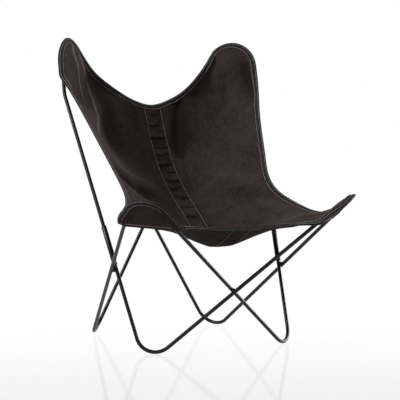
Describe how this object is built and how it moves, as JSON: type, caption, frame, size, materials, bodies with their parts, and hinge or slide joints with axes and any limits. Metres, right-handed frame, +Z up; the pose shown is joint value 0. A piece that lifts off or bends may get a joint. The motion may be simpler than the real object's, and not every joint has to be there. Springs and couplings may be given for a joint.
{
  "type": "butterfly sling chair",
  "caption": "Lounge chair with one dark cloth sling hung by sewn pockets on the four raised tips of a crossed frame of bent black steel rod.",
  "frame": {"origin": "centre of the footprint, on the floor", "axes": "+Z up, the chair faces -Y, +X is the right side as seen from in front"},
  "size_m": [0.7232, 0.751, 0.8983],
  "materials": {
    "frame_steel": "satin black coating",
    "weld_steel": "satin black coating over a weld bead",
    "canvas": "dark brown washed cotton canvas",
    "strip_canvas": "dark brown washed cotton canvas, double layer",
    "tape": "charcoal cotton tape"
  },
  "bodies": {
    "root": {"base_rod_left_tip": "frame_steel", "rear_bow_left": "frame_steel", "side_sleeve_left": "frame_steel", "rear_sleeve_left": "frame_steel", "side_weld_left": "weld_steel", "cover_panel_left": "canvas", "edge_binding_left": "tape", "rear_pocket_left": "canvas", "front_pocket_left": "canvas", "base_rod_right_tip": "frame_steel", "rear_bow_right": "frame_steel", "side_sleeve_right": "frame_steel", "rear_sleeve_right": "frame_steel", "side_weld_right": "weld_steel", "cover_panel_right": "canvas", "edge_binding_right": "tape", "rear_pocket_right": "canvas", "front_pocket_right": "canvas", "front_weld": "weld_steel", "rear_weld": "weld_steel", "cover_middle_strip": "strip_canvas", "edge_binding_top": "tape", "edge_binding_front": "tape"}
  },
  "joints": []
}
